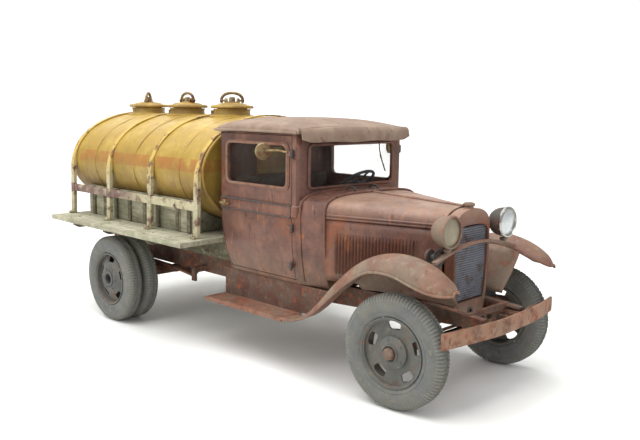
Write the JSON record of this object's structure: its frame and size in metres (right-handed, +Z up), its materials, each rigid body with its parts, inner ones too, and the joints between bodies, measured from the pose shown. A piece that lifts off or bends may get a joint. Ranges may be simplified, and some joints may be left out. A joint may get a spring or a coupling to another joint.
{
  "type": "1930s tank truck scale model",
  "caption": "Weathered 1930s tank truck model: closed cab, folding hood, steered front wheels, twin rear wheels, flat deck and oval tank with lids.",
  "frame": {"origin": "on the ground, under the middle of the truck's bounding box", "axes": "+Z up; the truck faces -Y; its own left side is +X"},
  "size_m": [0.136, 0.3056, 0.1405],
  "materials": {
    "chassis": "matte",
    "engine": "matte",
    "hood": "satin",
    "cab": "satin",
    "roof": "matte",
    "fender": "matte",
    "bumper": "matte",
    "running_board": "matte",
    "radiator_core": "matte",
    "lamp_near": "matte",
    "lamp_far": "satin",
    "lens": "gloss",
    "glass": "gloss",
    "trim": "satin",
    "seat": "matte",
    "steering": "satin",
    "rim": "matte",
    "tyre": "matte",
    "tank": "satin",
    "hoops": "matte",
    "planks": "matte",
    "timber": "matte",
    "bail": "satin"
  },
  "bodies": {
    "chassis": {"chassis_frame": "chassis", "rear_axle": "chassis", "front_axle": "chassis", "engine": "engine", "radiator_shell": "hood", "radiator_core": "radiator_core", "front_bumper": "bumper", "headlamp_bar": "fender", "headlamp_bucket_left": "lamp_far", "headlamp_bucket_right": "lamp_near", "headlamp_lens_left": "lens", "headlamp_lens_right": "lens", "horn": "chassis", "front_fender_left": "fender", "front_fender_right": "fender", "running_board_left": "running_board", "running_board_right": "running_board", "cab_body": "cab", "cab_roof": "roof", "sun_visor": "roof", "windscreen_glass": "glass", "hood_side_left": "hood", "hood_side_right": "hood", "seat_cushion": "seat", "seat_back": "seat", "steering_column": "steering", "tank_shell": "tank", "tank_hoops": "hoops", "deck_planks": "planks", "deck_frame": "timber", "tank_cradle": "planks"},
    "door_left": {"door_left": "cab", "door_glass_left": "glass", "mirror_left": "trim"},
    "door_right": {"door_right": "cab", "door_glass_right": "glass", "mirror_right": "trim"},
    "hood_left": {"hood_top_left": "hood"},
    "hood_right": {"hood_top_right": "hood"},
    "steering_wheel": {"steering_wheel": "steering"},
    "knuckle_left": {"steering_knuckle_left": "chassis"},
    "knuckle_right": {"steering_knuckle_right": "chassis"},
    "front_wheel_left": {"front_rim_left": "rim", "front_tyre_left": "tyre"},
    "front_wheel_right": {"front_rim_right": "rim", "front_tyre_right": "tyre"},
    "tie_rod": {"tie_rod": "chassis"},
    "rear_wheels_left": {"rear_rim_left": "rim", "rear_tyre_left_outer": "tyre", "rear_tyre_left_inner": "tyre"},
    "rear_wheels_right": {"rear_rim_right": "rim", "rear_tyre_right_outer": "tyre", "rear_tyre_right_inner": "tyre"},
    "radiator_cap": {"radiator_cap": "fender"},
    "lid_rear": {"fill_lid_rear": "tank"},
    "lid_middle": {"fill_lid_middle": "tank"},
    "lid_front": {"fill_lid_front": "tank"},
    "bail_rear": {"lid_bail_rear": "bail"},
    "bail_middle": {"lid_bail_middle": "bail"},
    "bail_front": {"lid_bail_front": "bail"}
  },
  "joints": [
    {"name": "rear_wheels_left_spin", "type": "hinge", "parent": "chassis", "child": "rear_wheels_left", "pos_m": [0.0584, 0.08875, 0.026], "axis": [1, 0, 0], "continuous": true},
    {"name": "rear_wheels_right_spin", "type": "hinge", "parent": "chassis", "child": "rear_wheels_right", "pos_m": [-0.0584, 0.08875, 0.026], "axis": [1, 0, 0], "continuous": true},
    {"name": "steer_left", "type": "hinge", "parent": "chassis", "child": "knuckle_left", "pos_m": [0.0365, -0.12005, 0.026], "axis": [0, 0, 1], "range_deg": [-33, 23]},
    {"name": "steer_right", "type": "hinge", "parent": "chassis", "child": "knuckle_right", "pos_m": [-0.0365, -0.12005, 0.026], "axis": [0, 0, 1], "range_deg": [-33, 23]},
    {"name": "front_wheel_left_spin", "type": "hinge", "parent": "knuckle_left", "child": "front_wheel_left", "pos_m": [0.04377, -0.11941, 0.026], "axis": [0.9962, 0.0872, 0], "continuous": true},
    {"name": "front_wheel_right_spin", "type": "hinge", "parent": "knuckle_right", "child": "front_wheel_right", "pos_m": [-0.04377, -0.12069, 0.026], "axis": [0.9962, 0.0872, 0], "continuous": true},
    {"name": "tie_rod_slide", "type": "slide", "parent": "chassis", "child": "tie_rod", "axis": [1, 0, 0], "range_m": [-0.0037, 0.0052]},
    {"name": "steering_wheel_turn", "type": "hinge", "parent": "chassis", "child": "steering_wheel", "pos_m": [0.017, -0.04125, 0.091], "axis": [0, 0.576, 0.8174], "range_deg": [-297, 207]},
    {"name": "door_left_hinge", "type": "hinge", "parent": "chassis", "child": "door_left", "pos_m": [0.042, -0.05175, 0.08], "axis": [0, 0, -1], "range_deg": [0, 62]},
    {"name": "door_right_hinge", "type": "hinge", "parent": "chassis", "child": "door_right", "pos_m": [-0.042, -0.05175, 0.08], "axis": [0, 0, 1], "range_deg": [0, 62]},
    {"name": "hood_left_hinge", "type": "hinge", "parent": "chassis", "child": "hood_left", "pos_m": [0, -0.06625, 0.089], "axis": [0, -0.9994, -0.0332], "range_deg": [0, 65]},
    {"name": "hood_right_hinge", "type": "hinge", "parent": "chassis", "child": "hood_right", "pos_m": [0, -0.06625, 0.089], "axis": [0, 0.9994, 0.0332], "range_deg": [0, 65]},
    {"name": "radiator_cap_turn", "type": "hinge", "parent": "chassis", "child": "radiator_cap", "pos_m": [0, -0.12685, 0.088], "axis": [0, 0, 1], "continuous": true},
    {"name": "lid_rear_lift", "type": "slide", "parent": "chassis", "child": "lid_rear", "axis": [0, 0, 1], "range_m": [0, 0.012]},
    {"name": "bail_rear_swing", "type": "hinge", "parent": "lid_rear", "child": "bail_rear", "pos_m": [0, 0.13735, 0.1349], "axis": [0.7193, 0.6947, 0], "range_deg": [-75, 75]},
    {"name": "lid_middle_lift", "type": "slide", "parent": "chassis", "child": "lid_middle", "axis": [0, 0, 1], "range_m": [0, 0.012]},
    {"name": "bail_middle_swing", "type": "hinge", "parent": "lid_middle", "child": "bail_middle", "pos_m": [0, 0.09175, 0.1349], "axis": [0, 1, 0], "range_deg": [-75, 75]},
    {"name": "lid_front_lift", "type": "slide", "parent": "chassis", "child": "lid_front", "axis": [0, 0, 1], "range_m": [0, 0.012]},
    {"name": "bail_front_swing", "type": "hinge", "parent": "lid_front", "child": "bail_front", "pos_m": [0, 0.04575, 0.1349], "axis": [-0.6947, 0.7193, 0], "range_deg": [-75, 75]}
  ],
  "couplings": [
    {"joint": "steer_right", "follows": "steer_left", "ratio": 1},
    {"joint": "tie_rod_slide", "follows": "steer_left", "m_per_rad": -0.008966},
    {"joint": "steering_wheel_turn", "follows": "steer_left", "ratio": 9}
  ]
}
